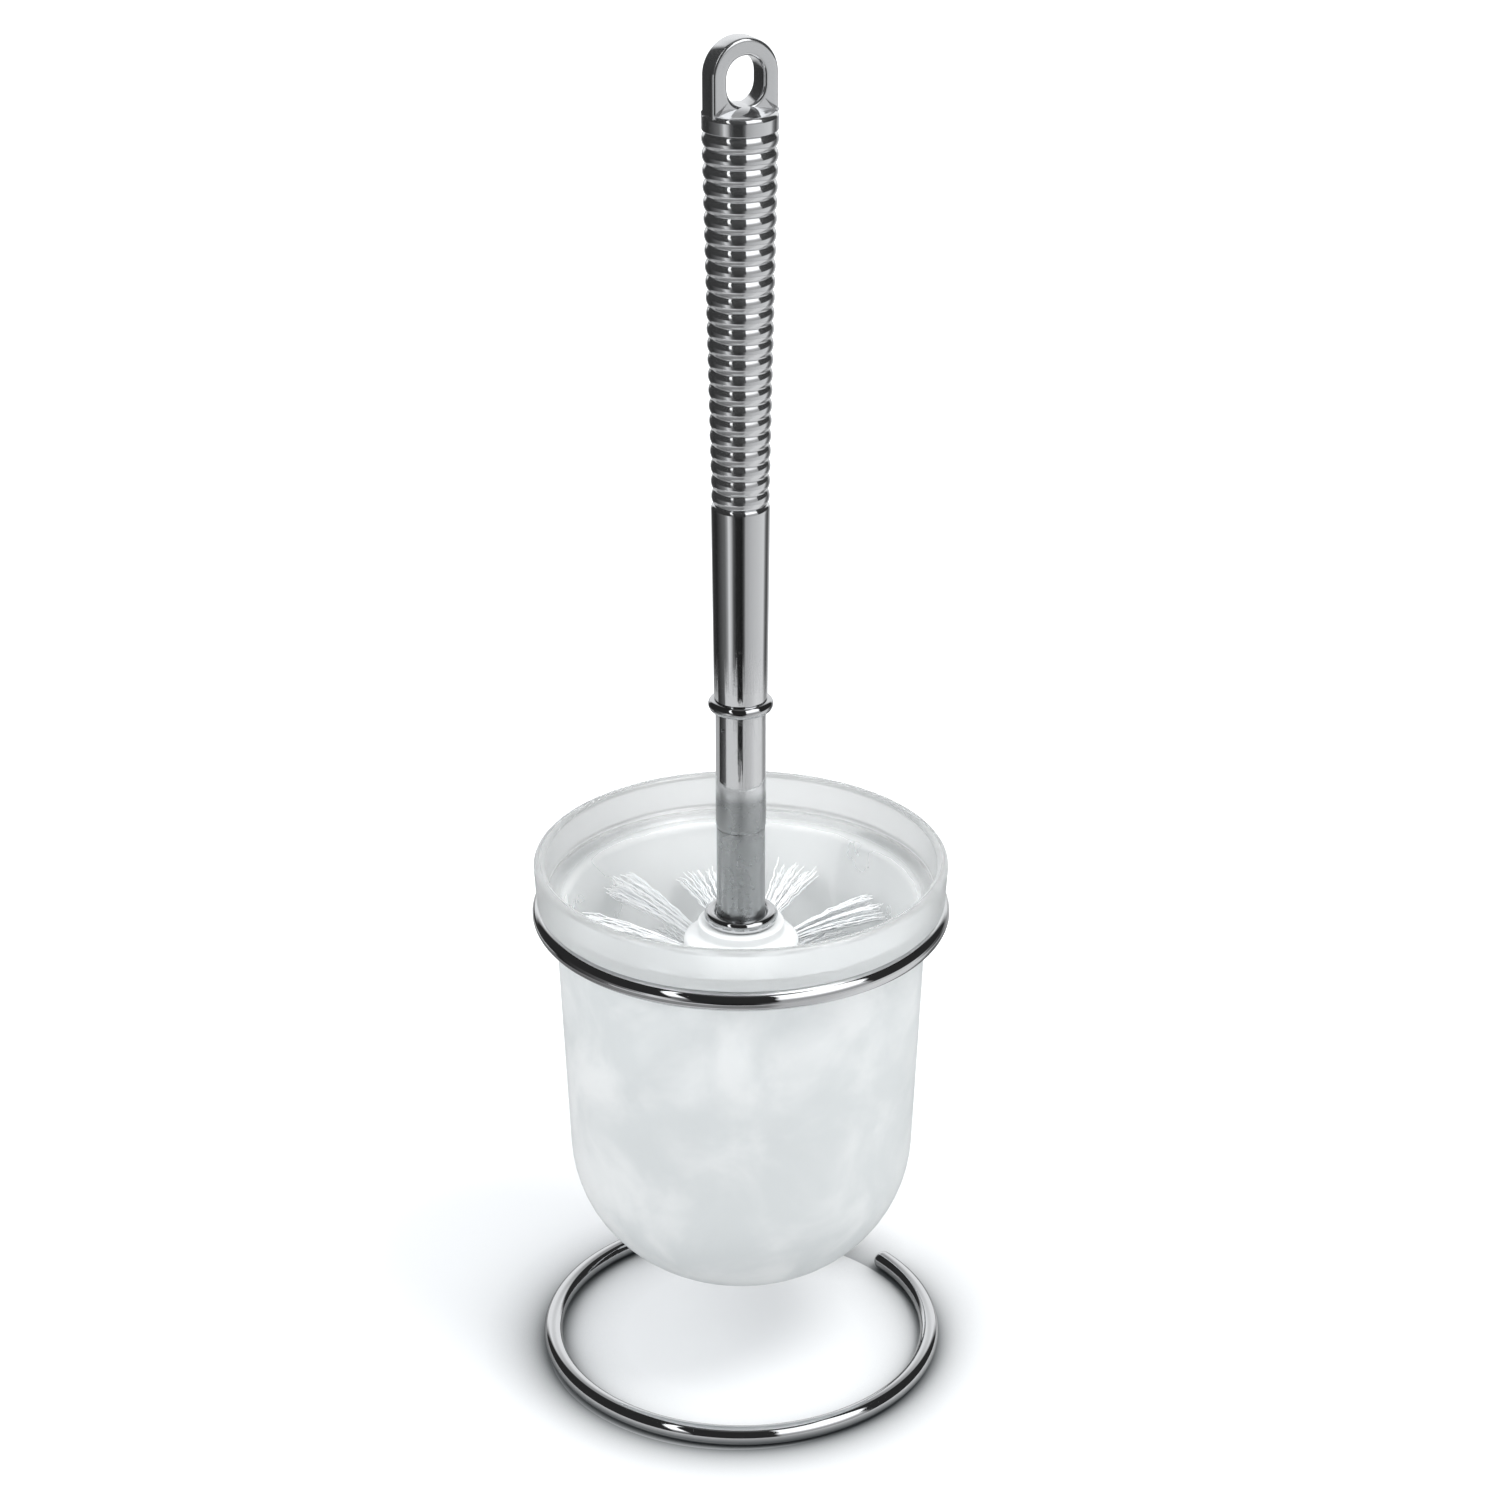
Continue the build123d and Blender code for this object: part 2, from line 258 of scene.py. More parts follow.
# area lights that only matt surfaces see; the key throws a real soft shadow under the base loop, and
# the floor's colour adds a painted one
lights = {
    "key": {"place": (0.55, -0.35, 1.25), "size": 0.55, "power": 9.0, "colour": (1.0, 0.995, 0.985)},
    "fill": {"place": (-0.75, -0.55, 0.85), "size": 0.7, "power": 4.5, "colour": (0.985, 0.995, 1.0)},
}
lampTarget = Vector((0, 0, 0.12))
for label, light in lights.items():
    lamp = bpy.data.lights.new(label, "AREA")
    lamp.shape = "DISK"
    lamp.size = light["size"]
    lamp.energy = light["power"]
    lamp.color = light["colour"]
    lampObject = linked(label, lamp)
    lampObject.location = light["place"]
    lampObject.rotation_euler = (Vector(light["place"]) - lampTarget).to_track_quat("Z", "Y").to_euler()
    lampObject.visible_glossy = False
    lampObject.visible_camera = False


def newMaterial(name):
    material = bpy.data.materials.new(name)
    material.use_nodes = True
    material.node_tree.nodes.clear()
    tree = Tree(material.node_tree)
    return material, tree, tree.add("ShaderNodeTexCoord", output="Object")


def finishMaterial(material, tree, shader):
    tree.add("ShaderNodeOutputMaterial", values={"Surface": shader})
    return material


floorLook = {
    "halfSide": 6,
    "paper": (0.80, 0.81, 0.82),
    "shade": (0.035, 0.042, 0.045),     # what the painted shadows darken it to
    "gloss": (0.55, 0.1),               # roughness, and what the grain adds to it
    "specular": 0.15,
    "farGlow": (0.10, 0.40),            # it is lit to plain white between these distances
    "glow": 0.5,
    "contact": 0.018,                   # reach of the painted contact shadow, from ambient occlusion in the colour
    "contactPower": 1.6,
    # painted soft shadow beside the base loop: radius, shift to the left and to the front, and how far
    # and how strongly it goes outside and inside the loop
    "ring": {"radius": 0.055, "left": 0.0015, "front": 0.003, "outerReach": 0.011,
             "innerReach": 0.016, "outer": 0.58, "inner": 0.16},
    # painted reflection: how bright polished metal sees it, by azimuth
    "mirrored": ((-180, 0.60), (-146, 0.34), (-100, 0.30), (-60, 0.44), (-20, 0.44), (20, 0.33),
                 (45, 0.38), (70, 0.50), (105, 0.50), (122, 0.24), (140, 0.24), (158, 0.60),
                 (180, 0.60)),
    # painted reflection, darker: between these distances polished metal sees it darker by this share,
    # but not on the right
    "dim": {"start": 0.12, "end": 0.335, "share": 0.62,
            "rightStart": (12, 24), "rightEnd": (122, 110)},
    # beyond this distance, give or take the wander, polished metal sees the studio instead
    "edge": (0.44, 0.50),
    "wander": 0.12,
    # dark gaps in that edge: azimuth, half width and where each starts
    "gaps": ((-91, 21, 0.27), (-2, 12, 0.40)),
}


def floorMaterial(look):
    material, tree, place = newMaterial("floor")
    azimuth = tree.azimuth(place)
    distance = tree.vector("LENGTH", place).other("Value")
    polished = tree.add("ShaderNodeLightPath", output="Is Glossy Ray")

    # painted shadow: the floor's colour is darkened in a soft band beside the base loop, and by ambient
    # occlusion wherever a part comes near
    ring = look["ring"]
    beside = tree.vector("ADD", place, (ring["left"], ring["front"], 0.0))
    beside = tree.vector("LENGTH", beside).other("Value") - ring["radius"]
    outer = (beside.maths("MAXIMUM", 0.0) / -ring["outerReach"]).maths("EXPONENT") * ring["outer"]
    inner = (beside.maths("MINIMUM", 0.0) / ring["innerReach"]).maths("EXPONENT") * ring["inner"]
    outside = beside.maths("GREATER_THAN", 0.0)
    soft = outer * outside + inner * (1.0 - outside)
    contact = tree.add("ShaderNodeAmbientOcclusion", {"samples": 12}, {"Distance": look["contact"]})
    shadow = (1.0 - soft) * contact.other("AO") ** look["contactPower"]

    # painted reflection: glossy rays see the floor in a colour of its own, by azimuth, darker between
    # two distances except on the right
    dim = look["dim"]
    lit = tree.step(azimuth, *dim["rightStart"]) * tree.step(azimuth, *dim["rightEnd"])
    midway = (tree.step(distance, dim["start"] - 0.03, dim["start"] + 0.02)
              * tree.step(distance, dim["end"] + 0.02, dim["end"] - 0.02))
    mirrored = tree.byAzimuth(azimuth, look["mirrored"])
    mirrored = tree.mixColour(midway * (1.0 - lit) * dim["share"], mirrored, grey(0.0))
    paper = tree.mixColour(polished, (*look["paper"], 1.0), mirrored)
    paper = tree.mixColour(shadow, (*look["shade"], 1.0), paper)
    far = tree.step(distance, *look["farGlow"]) * (1.0 - polished)
    gloss, grain = look["gloss"]
    shade = tree.add("ShaderNodeBsdfPrincipled", values={
        "Base Color": paper, "Roughness": gloss + tree.noise(place, 420) * grain,
        "Specular IOR Level": look["specular"], "Emission Strength": look["glow"],
        "Emission Color": tree.mixColour(far, grey(0.0), grey(1.0))})

    wander = tree.noise(place, 30, 4, 0.65) * look["wander"] - look["wander"] / 2
    distance = distance + wander
    beyond = tree.step(distance, *look["edge"])
    for middle, halfWidth, start in look["gaps"]:
        gap = (tree.step((azimuth - middle).maths("ABSOLUTE"), halfWidth + 4, halfWidth - 4)
               * tree.step(distance, start - 0.01, start + 0.015))
        beyond = beyond.maths("MAXIMUM", gap)
    clear = tree.add("ShaderNodeBsdfTransparent")
    mixed = tree.add("ShaderNodeMixShader", values={0: beyond * polished, 1: shade, 2: clear})
    return finishMaterial(material, tree, mixed)


half = floorLook["halfSide"]
floorMesh = bpy.data.meshes.new("floor")
floorMesh.from_pydata([(-half, -half, 0), (half, -half, 0), (half, half, 0), (-half, half, 0)], [],
                      [(0, 1, 2, 3)])
floor = linked("floor", floorMesh)
floor.data.materials.append(floorMaterial(floorLook))
print("studio: camera, floor,", len(lights), "lights")


# finishes

# chrome: gloss is its base roughness, wave how unevenly the plating lies, haze a veil over it,
# all over or only above a height, and everything below mattBelow is rougher and darker
chromes = {
    "standChrome": {"colour": (0.70, 0.705, 0.715), "gloss": 0.02, "wave": 0.03},
    "gripChrome": {"colour": (0.735, 0.74, 0.75), "gloss": 0.025, "wave": 0.05,
                   "haze": 0.13, "hazeAbove": 0.260},
    "tubeChrome": {"colour": (0.73, 0.735, 0.745), "gloss": 0.025, "wave": 0.06,
                   "haze": 0.03, "mattBelow": 0.1755},
    # painted shade: the trim rings get a darker copy of the chrome
    "shadedTrimChrome": {"colour": (0.60, 0.605, 0.615), "gloss": 0.02, "wave": 0.03},
}
# what all chrome shares: smudge is what wiping leaves, and the pairs are added roughness and dullness
chromeWear = {
    "smudge": 0.03,
    "wiped": (60, 4, 0.6, 0.6),         # scale, detail, roughness and distortion of its clouds
    "specks": (0.12, 0.25),
    "runs": (0.08, 0.12),
    "matt": (0.24, 0.35),
    "dullColour": (0.60, 0.615, 0.62),
    "darkBelowColour": (0.36, 0.37, 0.375),
    "darkBelowShare": 0.75,
    "veil": 0.42,                       # roughness that haze adds
    "leastHaze": 0.02,
    "swell": {"scale": 75, "depth": 0.0006},
    "grain": {"scale": 900, "depth": 0.00005, "strength": 0.05},
}


def chromeMaterial(name, wear, colour, gloss, wave, haze=0.0, hazeAbove=None, mattBelow=None):
    material, tree, place = newMaterial(name)
    wiped = tree.step(tree.noise(place, *wear["wiped"]), 0.42, 0.72)
    grain = tree.noise(place, wear["grain"]["scale"])
    specks = tree.step(tree.noise(place, 1400, 1, 0.4), 0.70, 0.76)
    smudge = wear["smudge"]
    roughness = gloss + wiped * smudge + grain * (smudge * 0.3) + specks * wear["specks"][0]
    dull = wiped * 0.05 + specks * wear["specks"][1]
    if mattBelow or hazeAbove:
        height = tree.add("ShaderNodeSeparateXYZ", values={0: place}).other("Z")
    if mattBelow:
        # dried water: ragged paler patches on the tube; everything under this height is rougher and
        # darker in colour
        drawn = tree.add("ShaderNodeMapping", values={"Vector": place, "Scale": (1.0, 1.0, 0.45)})
        matt = tree.step(height, mattBelow + 0.0025, mattBelow - 0.0015)
        runs = tree.step(tree.noise(drawn, 210, 4, 0.65, 1.6), 0.54, 0.62) * (1.0 - matt)
        roughness = roughness + runs * wear["runs"][0] + matt * wear["matt"][0]
        dull = dull + runs * wear["runs"][1] + matt * wear["matt"][1]
        grain = grain * (1.0 + matt * 1.5)
    base = tree.mixColour(dull, (*colour, 1.0), (*wear["dullColour"], 1.0))
    # below mattBelow the colour is darker
    if mattBelow:
        base = tree.mixColour(matt * wear["darkBelowShare"], base, (*wear["darkBelowColour"], 1.0))
    bump = tree.add("ShaderNodeBump", values={
        "Strength": wave, "Distance": wear["swell"]["depth"],
        "Height": tree.noise(place, wear["swell"]["scale"], 2, 0.4)})
    fine = tree.add("ShaderNodeBump", values={
        "Strength": wear["grain"]["strength"], "Distance": wear["grain"]["depth"], "Height": grain,
        "Normal": bump})

    def metal(roughness):
        return tree.add("ShaderNodeBsdfPrincipled", values={
            "Base Color": base, "Metallic": 1.0, "Roughness": roughness, "Normal": fine})

    shader = metal(roughness)
    if haze:
        if hazeAbove:
            haze = tree.step(height, hazeAbove - 0.002, hazeAbove + 0.002, wear["leastHaze"], haze)
        veil = metal(roughness + wear["veil"])
        shader = tree.add("ShaderNodeMixShader", values={0: haze, 1: shader, 2: veil})
    return finishMaterial(material, tree, shader)


# sandblasted outside, glossy inside; the thick collar is clearer than the body, which is cloudy
glassLook = {
    "ior": 1.47,
    "collar": (0.1425, 0.1450),         # it begins between these heights
    "clouds": ((0.76, 0.785, 0.79), (0.93, 0.94, 0.94)),
    "clear": (0.975, 0.985, 0.985),
    "outerRough": 0.58,
    "collarRough": -0.28,
    "innerRough": 0.24,
    "pits": {"scale": 1500, "depth": 0.00008, "outside": 0.22, "inside": 0.01},
    # how much light goes through, and the strength of a painted glow on the inside surface, standing in
    # for light the wall scatters along itself
    "body": {"through": 0.55, "glow": 0.09},
    "rim": {"through": 0.86, "glow": 0.07},
    "glow": (0.95, 0.99, 1.0),
}


def glassMaterial(look):
    material, tree, place = newMaterial("frostedGlass")
    height = tree.add("ShaderNodeSeparateXYZ", values={0: place}).other("Z")
    inside = tree.add("ShaderNodeAttribute", {"attribute_name": "inside"}, output="Fac")
    collar = tree.step(height, *look["collar"])
    cloud = tree.noise(place, 38, 4, 0.55, 0.4)
    blast = tree.noise(place, look["pits"]["scale"], 3, 0.6)
    rubbed = tree.step(tree.noise(place, 24, 3, 0.6), 0.5, 0.8)
    outer = look["outerRough"] + blast * 0.08 - rubbed * 0.06 + collar * look["collarRough"]
    inner = look["innerRough"] + cloud * 0.08 - collar * 0.06
    thin, thick = look["clouds"]
    body = tree.mixColour(tree.step(cloud, 0.35, 0.70), (*thin, 1.0), (*thick, 1.0))
    colour = tree.mixColour(inside.maths("MAXIMUM", collar), body, (*look["clear"], 1.0))
    pits = (1.0 - inside) * look["pits"]["outside"] + look["pits"]["inside"]
    bump = tree.add("ShaderNodeBump", values={
        "Strength": pits, "Distance": look["pits"]["depth"], "Height": blast})
    # painted glow: only the inside surface emits this light, though the glass is no lamp
    glow = tree.mixColour(inside, grey(0.0), (*look["glow"], 1.0))

    def glass(part):
        return tree.add("ShaderNodeBsdfPrincipled", values={
            "Base Color": colour, "Roughness": outer + (inner - outer) * inside, "Normal": bump,
            "IOR": look["ior"], "Transmission Weight": part["through"],
            "Emission Color": glow, "Emission Strength": part["glow"]})

    shader = tree.add("ShaderNodeMixShader", values={
        0: collar, 1: glass(look["body"]), 2: glass(look["rim"])})
    return finishMaterial(material, tree, shader)


hubLook = {
    "tones": ((0.74, 0.755, 0.76), (0.82, 0.83, 0.83)),
    "gloss": 0.30,
    "skinDepth": 0.00008,
    "through": {"Subsurface Weight": 0.3, "Subsurface Radius": (0.004, 0.004, 0.004),
                "Subsurface Scale": 0.6},
}


def hubMaterial(look):
    material, tree, place = newMaterial("hubPlastic")
    flow = tree.noise(place, 120, 3, 0.5, 0.8)
    skin = tree.noise(place, 1300)
    dark, light = look["tones"]
    bump = tree.add("ShaderNodeBump", values={
        "Strength": 0.15, "Distance": look["skinDepth"], "Height": skin})
    shader = tree.add("ShaderNodeBsdfPrincipled", values={
        "Base Color": tree.mixColour(flow, (*dark, 1.0), (*light, 1.0)),
        "Roughness": look["gloss"] + skin * 0.12, "Normal": bump, **look["through"]})
    return finishMaterial(material, tree, shader)


# nylon: every filament has its own tone, and the cut tips are a little whiter
bristleLook = {
    "tones": ((0.90, 0.925, 0.94), (0.975, 0.98, 0.985)),
    "tip": (0.98, 0.98, 0.98),
    "gloss": 0.34,
    "through": {"Subsurface Weight": 0.1, "Subsurface Radius": (0.001, 0.001, 0.001),
                "Subsurface Scale": 0.3},
}


def bristleMaterial(look):
    material, tree, place = newMaterial("bristleNylon")
    tone = tree.add("ShaderNodeAttribute", {"attribute_name": "tone"}, output="Fac")
    along = tree.add("ShaderNodeAttribute", {"attribute_name": "along"}, output="Fac")
    dark, light = look["tones"]
    colour = tree.mixColour(tone, (*dark, 1.0), (*light, 1.0))
    colour = tree.mixColour(tree.step(along, 0.93, 1.0) * 0.6, colour, (*look["tip"], 1.0))
    shader = tree.add("ShaderNodeBsdfPrincipled", values={
        "Base Color": colour, "Roughness": look["gloss"] + tone * 0.12 + tree.noise(place, 700) * 0.08,
        **look["through"]})
    return finishMaterial(material, tree, shader)


# zinc, wire and brass: patches of two tones, with fine turning marks round the axis
platings = {
    "zincSteel": ((0.66, 0.68, 0.70), (0.48, 0.50, 0.52), 0.22, 300),
    "anchorSteel": ((0.62, 0.62, 0.60), (0.45, 0.45, 0.44), 0.30, 500),
    "turnedBrass": ((0.78, 0.60, 0.30), (0.60, 0.42, 0.18), 0.20, 400),
}


def platedMaterial(name, light, dark, gloss, scale):
    # light and dark are the tones, gloss the base roughness and scale that of the patches
    material, tree, place = newMaterial(name)
    patch = tree.noise(place, scale, 4, 0.6, 0.5)
    rings = tree.add("ShaderNodeTexWave", {"bands_direction": "Z"}, {
        "Vector": place, "Scale": 900, "Distortion": 2.0, "Detail": 2.0})
    colour = tree.mixColour(tree.step(patch, 0.35, 0.7), (*light, 1.0), (*dark, 1.0))
    bump = tree.add("ShaderNodeBump", values={
        "Strength": 0.2, "Distance": 0.00004, "Height": rings.other("Fac")})
    shader = tree.add("ShaderNodeBsdfPrincipled", values={
        "Base Color": colour, "Metallic": 1.0, "Roughness": gloss + patch * 0.2, "Normal": bump})
    return finishMaterial(material, tree, shader)


standChrome, gripChrome, tubeChrome, shadedTrimChrome = [
    chromeMaterial(name, chromeWear, **look) for name, look in chromes.items()]
frostedGlass = glassMaterial(glassLook)
hubPlastic = hubMaterial(hubLook)
bristleNylon = bristleMaterial(bristleLook)
zincSteel, anchorSteel, turnedBrass = [
    platedMaterial(name, *look) for name, look in platings.items()]
print("finishes:", len(bpy.data.materials))


# how pieces are made

def polar(radius, azimuth, height):
    turn = math.radians(azimuth)
    return (radius * math.cos(turn), radius * math.sin(turn), height)


def roundedOutline(corners, fineness=8.0):
    # corners are (radius, height, rounding); each rounded corner becomes an arc of short steps
    outline = []
    for index, (radius, height, rounding) in enumerate(corners):
        corner = Vector((radius, height))
        if rounding <= 0:
            outline.append(tuple(corner))
            continue
        before = Vector(corners[index - 1][:2])
        after = Vector(corners[(index + 1) % len(corners)][:2])
        inward = (before - corner).normalized()
        outward = (after - corner).normalized()
        opening = inward.angle(outward)
        reach = rounding / math.tan(opening / 2)
        centre = corner + (inward + outward).normalized() * (rounding / math.sin(opening / 2))
        start = corner + inward * reach - centre
        turn = start.angle_signed(corner + outward * reach - centre)
        steps = max(3, math.ceil(abs(math.degrees(turn)) / fineness))
        for step in range(steps + 1):
            angle = -turn * step / steps
            spoke = Vector((start.x * math.cos(angle) - start.y * math.sin(angle),
                            start.x * math.sin(angle) + start.y * math.cos(angle)))
            outline.append(tuple(centre + spoke))
    return outline


def divided(outline, longest):
    # breaks the long straight runs of an outline, so that shading stays even
    points = [outline[0]]
    for start, end in zip(outline, outline[1:]):
        pieces = max(1, math.ceil(math.dist(start, end) / longest))
        for piece in range(1, pieces + 1):
            share = piece / pieces
            points.append((start[0] + (end[0] - start[0]) * share,
                           start[1] + (end[1] - start[1]) * share))
    return points


def spun(bm, outline, around, closed=False):
    # turns an outline of (radius, height) round the axis; a point on the axis becomes a single pole
    rings = []
    for radius, height in outline:
        if radius < 1e-6:
            rings.append([bm.verts.new((0, 0, height * mm))])
        else:
            rings.append([bm.verts.new(Vector(polar(radius * mm, 360 * i / around, height * mm)))
                          for i in range(around)])
    pairs = list(zip(rings, rings[1:]))
    if closed:
        pairs.append((rings[-1], rings[0]))
    for low, high in pairs:
        for i in range(around):
            j = (i + 1) % around
            corners = [low[i % len(low)], low[j % len(low)], high[j % len(high)], high[i % len(high)]]
            unique = list(dict.fromkeys(corners))
            if len(unique) > 2:
                bm.faces.new(unique)
    return rings


def finishMesh(bm, name, material, sharp):
    bmesh.ops.remove_doubles(bm, verts=bm.verts, dist=1e-7)
    bmesh.ops.recalc_face_normals(bm, faces=bm.faces)
    mesh = bpy.data.meshes.new(name)
    bm.to_mesh(mesh)
    bm.free()
    mesh.shade_smooth()
    mesh.set_sharp_from_angle(angle=math.radians(sharp))
    mesh.materials.append(material)
    return linked(name, mesh)


def turnedRing(name, outline, material):
    bm = bmesh.new()
    spun(bm, outline, 96, closed=True)
    return finishMesh(bm, name, material, 40)


def place(piece, body, finish, *cadNodes):
    # a finished piece rides on its body and stands for the CAD nodes that it copies
    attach(piece, body)
    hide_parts(*cadNodes)


def newPattern(name, inputs):
    # a geometry tree with named inputs, whole numbers as counts and the rest as sizes
    group = bpy.data.node_groups.new(name, "GeometryNodeTree")
    group.interface.new_socket("Geometry", in_out="INPUT", socket_type="NodeSocketGeometry")
    for label, value in inputs.items():
        kind = "NodeSocketInt" if isinstance(value, int) else "NodeSocketFloat"
        group.interface.new_socket(label, in_out="INPUT", socket_type=kind)
    group.interface.new_socket("Geometry", in_out="OUTPUT", socket_type="NodeSocketGeometry")
    tree = Tree(group)
    return tree, tree.add("NodeGroupInput")


def endPattern(tree, shape, material):
    # smooth shading, real geometry and a material, then the tree's output
    smooth = tree.add("GeometryNodeSetShadeSmooth", values={"Geometry": shape})
    real = tree.add("GeometryNodeRealizeInstances", values={"Geometry": smooth})
    painted = tree.add("GeometryNodeSetMaterial", values={"Geometry": real, "Material": material})
    tree.add("NodeGroupOutput", values={"Geometry": painted})
    return tree


def tubeAlong(tree, curve, around, radius):
    profile = tree.add("GeometryNodeCurvePrimitiveCircle", values={"Resolution": around, "Radius": 1.0})
    return tree.add("GeometryNodeCurveToMesh", values={
        "Curve": curve, "Profile Curve": profile, "Scale": radius, "Fill Caps": True})


def grown(name, pattern, inputs, startMesh=None):
    # runs a pattern on a start mesh and keeps the result as a plain mesh
    start = linked(name + "Start", startMesh or bpy.data.meshes.new(name + "Start"))
    modifier = start.modifiers.new(name, "NODES")
    modifier.node_group = pattern.nodeTree
    for item in pattern.nodeTree.interface.items_tree:
        if item.in_out == "INPUT" and item.name in inputs:
            modifier[item.identifier] = inputs[item.name]
    depsgraph = bpy.context.evaluated_depsgraph_get()
    mesh = bpy.data.meshes.new_from_object(start.evaluated_get(depsgraph), depsgraph=depsgraph)
    mesh.name = name
    bpy.data.objects.remove(start)
    return mesh


# stand: one wire that follows base loop, bend, upright, bend and holder loop

stand = {
    "wire": 5.5,
    "loopRadius": 55.0,
    "holderHeight": 140.5,
    "bend": 9.0,
    "uprightAzimuth": 55.4,     # here and below counted from the right, towards the back
    "baseEnd": 41.0,
    "holderEnd": 95.0,
    "endRounding": 1.8,
    "step": 1.1,
    "around": 28,
}


def standPath(stand):
    radius, bend, base = stand["loopRadius"], stand["bend"], stand["wire"] / 2
    lean = math.degrees(math.atan(bend / radius))
    lowStart = stand["uprightAzimuth"] + lean
    highStart = stand["uprightAzimuth"] - lean
    turnStep = math.degrees(stand["step"] / radius)

    def loop(height, start, end):
        steps = math.ceil(abs(end - start) / turnStep)
        return [polar(radius, start + (end - start) * i / steps, height) for i in range(steps + 1)]

    def quarter(azimuth, height, direction, rise):
        # from the loop's end along its tangent and up or down into the upright
        foot = Vector(polar(radius, azimuth, height))
        tangent = Vector(polar(1, azimuth + 90 * direction, 0))
        points = []
        for i in range(1, 13):
            angle = math.radians(7.5 * i)
            points.append(tuple(foot + tangent * (bend * math.sin(angle))
                                + Vector((0, 0, rise * bend * (1 - math.cos(angle))))))
        return points

    path = loop(base, 360 + stand["baseEnd"], lowStart)
    path += quarter(lowStart, base, -1, 1)
    top = quarter(highStart, stand["holderHeight"], 1, -1)[::-1]
    foot, head = Vector(path[-1]), Vector(top[0])
    steps = math.ceil((head - foot).length / (2 * stand["step"]))
    path += [tuple(foot.lerp(head, i / steps)) for i in range(1, steps)]
    path += top
    path += loop(stand["holderHeight"], 360 + highStart, stand["holderEnd"])
    # closer points, about an eighth of a millimetre at first, where the ends are rounded over
    ends = []
    for last, inner in ((path[0], path[4]), (path[-1], path[-5])):
        last, inner = Vector(last), Vector(inner)
        gap = (inner - last).length
        ends.append([tuple(last.lerp(inner, 0.12 * i / gap * (1 + 0.12 * i))) for i in range(1, 14)])
    path = [path[0]] + ends[0] + path[4:-4] + ends[1][::-1] + [path[-1]]
    return [Vector(point) * mm for point in path]


def wirePattern(inputs, material):
    tree, given = newPattern("wireAlongPath", inputs)
    path = tree.add("GeometryNodeMeshToCurve", values={"Mesh": given})
    along = tree.add("GeometryNodeSplineParameter", output="Length")
    whole = tree.add("GeometryNodeSplineLength", output="Length")
    rounding, wire = given.other("End Rounding"), given.other("Wire Radius")
    toEnd = along.maths("MINIMUM", whole - along)
    short = (rounding - toEnd).maths("MAXIMUM", 0.0)
    radius = wire - rounding + (rounding * rounding - short * short) ** 0.5
    return endPattern(tree, tubeAlong(tree, path, given.other("Around"), radius), material)


path = standPath(stand)
pathMesh = bpy.data.meshes.new("standPath")
pathMesh.from_pydata(path, [(i, i + 1) for i in range(len(path) - 1)], [])
inputs = {"Wire Radius": stand["wire"] / 2 * mm, "End Rounding": stand["endRounding"] * mm,
          "Around": stand["around"]}
standWire = linked("standWire", grown("standWire", wirePattern(inputs, standChrome), inputs, pathMesh))
place(standWire, "stand", "stand_chrome", "stand_wire")
print("stand:", len(path), "points along the wire")


# glass cup

cup = {
    "wall": 3.3,
    "floor": 29.3,
    "floorThickness": 4.0,
    "footRadius": 46.86,
    "footRounding": 40.2,
    "shoulder": (51.65, 143.5),
    "collarFoot": 56.4,
    "rimRadius": 57.2,
    "rimHeight": 156.0,
    "rimThickness": 3.2,
    "ledgeOuter": (53.6, 146.4),
    "mouth": (48.05, 142.5),
    "shoulderRounding": 3.6,
    "edgeRounding": 1.2,        # at the collar's foot and at the ledge
    "rimRounding": 1.5,
    "mouthRounding": 3.0,
    "around": 144,
}


def makeCup(cup):
    innerFloor = cup["floor"] + cup["floorThickness"]
    rimInner = cup["rimRadius"] - cup["rimThickness"]
    outline = divided(roundedOutline([
        (0, cup["floor"], 0),
        (cup["footRadius"], cup["floor"], cup["footRounding"]),
        (*cup["shoulder"], cup["shoulderRounding"]),
        (cup["collarFoot"], cup["shoulder"][1], cup["edgeRounding"]),
        (cup["rimRadius"], cup["rimHeight"], cup["rimRounding"]),
        (rimInner, cup["rimHeight"], cup["rimRounding"]),
        (*cup["ledgeOuter"], cup["edgeRounding"]),
        (*cup["mouth"], cup["mouthRounding"]),
        (cup["footRadius"] - cup["wall"], innerFloor, cup["footRounding"] - cup["wall"]),
        (0, innerFloor, 0),
    ], fineness=5.0), 6.0)
    bm = bmesh.new()
    layer = bm.verts.layers.float.new("inside")
    rings = spun(bm, outline, cup["around"])
    # the inside starts half way over the rim
    rimMiddle = rimInner + cup["rimThickness"] / 2
    topRing = max(range(len(outline)),
                  key=lambda i: outline[i][1] - abs(outline[i][0] - rimMiddle) * 0.01)
    for index, ring in enumerate(rings):
        for vert in ring:
            vert[layer] = 1.0 if index > topRing else 0.0
    return finishMesh(bm, "glassCup", frostedGlass, 60)


glassCup = makeCup(cup)
place(glassCup, "cup", "frosted_glass", "glass_cup")
print("cup:", len(glassCup.data.polygons), "faces")


# grip: band, ribs, sleeve and spigot turned in one, with the hanging eye on top

grip = {
    "bandTop": 364.7,
    "domeHeight": 1.6,
    "bandRadius": 9.9,
    "bandRounding": 1.5,
    "ribTop": 359.6,
    "ribPitch": 100 / 24,
    "ribCount": 24,
    "crest": (10.0, 7.775),         # radius at the top and at the bottom rib
    "groove": (9.05, 7.05),
    "grooveSoftness": 0.16,
    "stepsPerRib": 16,
    "sleeve": (7.85, 7.3),
    "sleeveTopDrop": 1.6,
    "end": 203.7,
    "spigotRadius": 6.03,
    "spigotEnd": 178.0,
    "coreRadius": 3.75,
    "coreTop": 345.0,
    "around": 96,
}
eye = {
    "turn": 29.0,
    "top": 383.5,
    "width": 18.9,
    "thickness": 6.6,
    "foot": 363.8,
    "holeWidth": 10.6,
    "holeHeight": 12.9,
    "holeMiddle": 372.55,
    "edgeRounding": 1.0,
    "around": 160,
}


